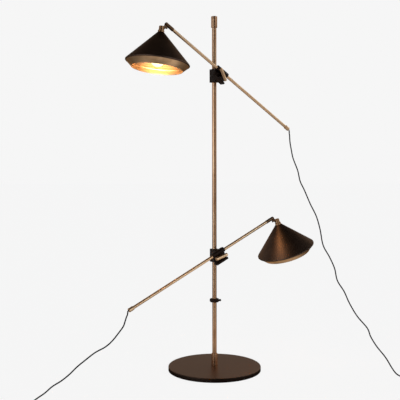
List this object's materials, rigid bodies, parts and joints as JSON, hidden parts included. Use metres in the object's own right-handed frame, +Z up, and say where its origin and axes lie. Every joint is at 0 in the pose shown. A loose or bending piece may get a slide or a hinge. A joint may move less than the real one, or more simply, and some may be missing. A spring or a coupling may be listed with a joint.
{
  "type": "double-arm pole floor lamp",
  "caption": "Free-standing pole floor lamp on a round weighted base, with clamped sliding and tilting arms that carry conical metal shades.",
  "frame": {"origin": "centre of the base's underside, on the pole's axis, on the floor", "axes": "+Z up along the pole, -Y towards the viewer of the picture, +X to the viewer's right"},
  "size_m": [1.5893, 0.832, 1.515],
  "materials": {
    "base_paint": "satin bronze-brown powder coat",
    "iron": "as cast",
    "felt": "felt",
    "steel": "zinc plated",
    "brass": "brushed, aged",
    "dark_brass": "darkened, satin",
    "black_metal": "semi-matt black",
    "nylon": "moulded",
    "shade_paint": "satin black-brown",
    "lip_brass": "brushed, aged",
    "porcelain": "gloss",
    "bulb_glass": "frosted",
    "flex": "matt",
    "blade_brass": "bright"
  },
  "bodies": {
    "stand": {"base_cover": "base_paint", "base_weight": "iron", "base_pad": "felt", "base_stud": "steel", "base_washer": "steel", "base_nut": "steel", "foot_sleeve": "brass", "pole": "brass", "pole_cap": "brass", "upper_cord": "flex", "upper_coil": "flex", "upper_plug": "flex", "upper_blades": "blade_brass", "lower_cord": "flex", "lower_coil": "flex", "lower_plug": "flex", "lower_blades": "blade_brass"},
    "stop": {"stop_collar": "black_metal"},
    "stop_thumb": {"stop_screw": "black_metal"},
    "upper_carrier": {"upper_liner": "nylon"},
    "upper_pole_block": {"upper_pole_block": "black_metal", "upper_washer": "dark_brass"},
    "upper_arm_block": {"upper_arm_block": "black_metal"},
    "upper_handle": {"upper_clamp_screw": "dark_brass", "upper_handle_bar": "brass"},
    "upper_arm": {"upper_arm_tube": "brass", "upper_ferrule": "brass", "upper_gland": "flex", "upper_fork": "dark_brass", "upper_pivot_pin": "dark_brass"},
    "upper_head": {"upper_tongue": "brass", "upper_cup": "brass", "upper_shade": "shade_paint", "upper_lip": "lip_brass", "upper_lampholder": "porcelain", "upper_bulb": "bulb_glass"},
    "lower_carrier": {"lower_liner": "nylon"},
    "lower_pole_block": {"lower_pole_block": "black_metal", "lower_washer": "dark_brass"},
    "lower_arm_block": {"lower_arm_block": "black_metal"},
    "lower_handle": {"lower_clamp_screw": "dark_brass", "lower_handle_bar": "brass"},
    "lower_arm": {"lower_arm_tube": "brass", "lower_ferrule": "brass", "lower_gland": "flex", "lower_fork": "dark_brass", "lower_pivot_pin": "dark_brass"},
    "lower_head": {"lower_tongue": "brass", "lower_cup": "brass", "lower_shade": "shade_paint", "lower_lip": "lip_brass", "lower_lampholder": "porcelain", "lower_bulb": "bulb_glass"}
  },
  "joints": [
    {"name": "upper_height", "type": "slide", "parent": "stand", "child": "upper_carrier", "axis": [0, 0, 1], "range_m": [-0.3, 0.16], "deforming": ["upper_cord"]},
    {"name": "upper_swivel", "type": "hinge", "parent": "upper_carrier", "child": "upper_pole_block", "pos_m": [0, 0, 1.2645], "axis": [0, 0, 1], "range_deg": [-90, 90], "deforming": ["upper_cord"]},
    {"name": "upper_tilt", "type": "hinge", "parent": "upper_pole_block", "child": "upper_arm_block", "pos_m": [0, 0, 1.2645], "axis": [-0.6046, 0.7965, 0], "range_deg": [-35, 20], "deforming": ["upper_cord"]},
    {"name": "upper_reach", "type": "slide", "parent": "upper_arm_block", "child": "upper_arm", "axis": [0.6849, 0.5199, -0.5105], "range_m": [-0.35, 0.15], "deforming": ["upper_cord"]},
    {"name": "upper_handle_turn", "type": "hinge", "parent": "upper_pole_block", "child": "upper_handle", "pos_m": [0, 0, 1.2645], "axis": [0.6046, -0.7965, 0], "range_deg": [0, 300]},
    {"name": "upper_head_tilt", "type": "hinge", "parent": "upper_arm", "child": "upper_head", "pos_m": [-0.19236, -0.19804, 1.4443], "axis": [-0.6046, 0.7965, 0], "range_deg": [-20, 75]},
    {"name": "lower_height", "type": "slide", "parent": "stand", "child": "lower_carrier", "axis": [0, 0, 1], "range_m": [-0.14, 0.1], "deforming": ["lower_cord"]},
    {"name": "lower_swivel", "type": "hinge", "parent": "lower_carrier", "child": "lower_pole_block", "pos_m": [0, 0, 0.498], "axis": [0, 0, 1], "range_deg": [-90, 90], "deforming": ["lower_cord"]},
    {"name": "lower_tilt", "type": "hinge", "parent": "lower_pole_block", "child": "lower_arm_block", "pos_m": [0, 0, 0.498], "axis": [0.506, -0.8625, 0], "range_deg": [-20, 20], "deforming": ["lower_cord"]},
    {"name": "lower_reach", "type": "slide", "parent": "lower_arm_block", "child": "lower_arm", "axis": [-0.7759, -0.4552, -0.4368], "range_m": [-0.35, 0.15], "deforming": ["lower_cord"]},
    {"name": "lower_handle_turn", "type": "hinge", "parent": "lower_pole_block", "child": "lower_handle", "pos_m": [0, 0, 0.498], "axis": [0.506, -0.8625, 0], "range_deg": [0, 300]},
    {"name": "lower_head_tilt", "type": "hinge", "parent": "lower_arm", "child": "lower_head", "pos_m": [0.25769, 0.10313, 0.64822], "axis": [0.506, -0.8625, 0], "range_deg": [-30, 50]},
    {"name": "stop_height", "type": "slide", "parent": "stand", "child": "stop", "axis": [0, 0, 1], "range_m": [-0.2, 0.12]},
    {"name": "stop_screw_turn", "type": "hinge", "parent": "stop", "child": "stop_thumb", "pos_m": [0.0245, 0, 0.303], "axis": [1, 0, 0], "range_deg": [0, 300]}
  ]
}
